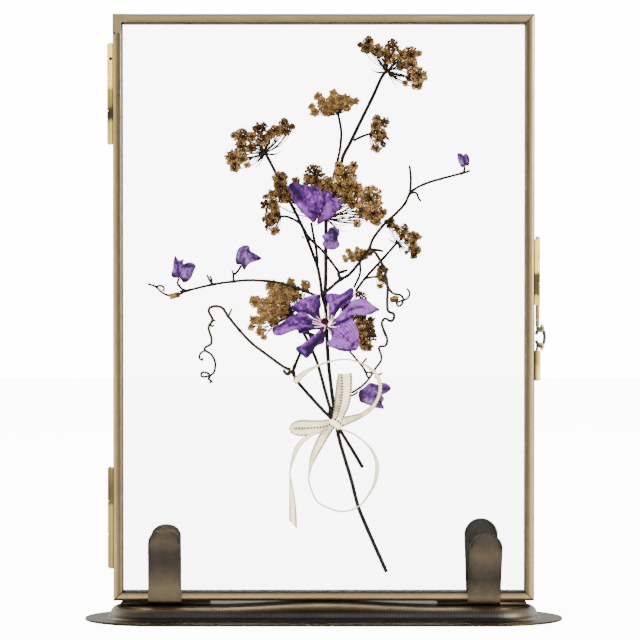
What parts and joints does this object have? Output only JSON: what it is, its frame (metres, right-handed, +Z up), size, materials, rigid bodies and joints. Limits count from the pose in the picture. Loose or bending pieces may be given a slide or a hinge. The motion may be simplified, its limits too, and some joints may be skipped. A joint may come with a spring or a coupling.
{
  "type": "pressed flower frame",
  "caption": "Upright brass-edged glass frame with pressed wild carrot, clematis and a ribbon bow between its panes, held by sprung brackets on an oval sheet stand.",
  "frame": {"origin": "middle of the stand's underside, on the table", "axes": "+Z up, the frame's front towards -Y, its hinges at -X and its clasp at +X"},
  "size_m": [0.1506, 0.046, 0.1903],
  "materials": {
    "came": "aged brushed brass came",
    "fittings": "aged brass, darker at the folds",
    "pane": "clear float glass",
    "stand": "antique bronze, rubbed lighter on the shoulder",
    "bracket": "antique bronze, brushed",
    "dry_head": "dried brown flower heads, dark tips",
    "pale_head": "dried tan flower heads",
    "stem": "dark dried stem",
    "petal": "dried violet petal, veined",
    "heart": "dried dark red heart",
    "dry_leaf": "dried leaf",
    "ribbon": "cream satin with a dark stitched edge"
  },
  "bodies": {
    "root": {"front_bar_top": "came", "front_bar_bottom": "came", "front_bar_left": "came", "front_bar_right": "came", "back_bar_top": "came", "back_bar_bottom": "came", "back_bar_left": "came", "back_bar_right": "came", "hinge_upper_front": "fittings", "hinge_upper_back": "fittings", "hinge_upper_pin": "fittings", "hinge_lower_front": "fittings", "hinge_lower_back": "fittings", "hinge_lower_pin": "fittings", "clasp_front": "fittings", "clasp_back": "fittings", "clasp_pin": "fittings", "tether_ring": "fittings", "tether_plate": "fittings", "front_pane": "pane", "back_pane": "pane", "stand_base": "stand", "bracket_left": "bracket", "bracket_right": "bracket", "lace_top": "dry_head", "lace_side": "dry_head", "lace_left": "dry_head", "lace_dark": "dry_head", "lace_main": "dry_head", "lace_low": "dry_head", "lace_small": "dry_head", "lace_pale": "pale_head", "lace_light": "pale_head", "lace_inner": "pale_head", "stem_second": "stem", "stem_leaning": "stem", "vine_right": "stem", "vine_right_fall": "stem", "vine_left": "stem", "vine_falling": "stem", "large_petal_1": "petal", "large_petal_2": "petal", "large_petal_3": "petal", "large_petal_4": "petal", "large_petal_5": "petal", "large_petal_6": "petal", "side_petal_left": "petal", "side_petal_right": "petal", "side_petal_small": "petal", "small_bloom": "petal", "low_bloom": "petal", "bud_left": "petal", "bud_middle": "petal", "bud_right": "petal", "large_bloom_heart": "heart", "brown_leaf": "dry_leaf", "brown_sheath": "dry_leaf", "seed": "dry_leaf", "ribbon_bow": "ribbon"}
  },
  "joints": []
}
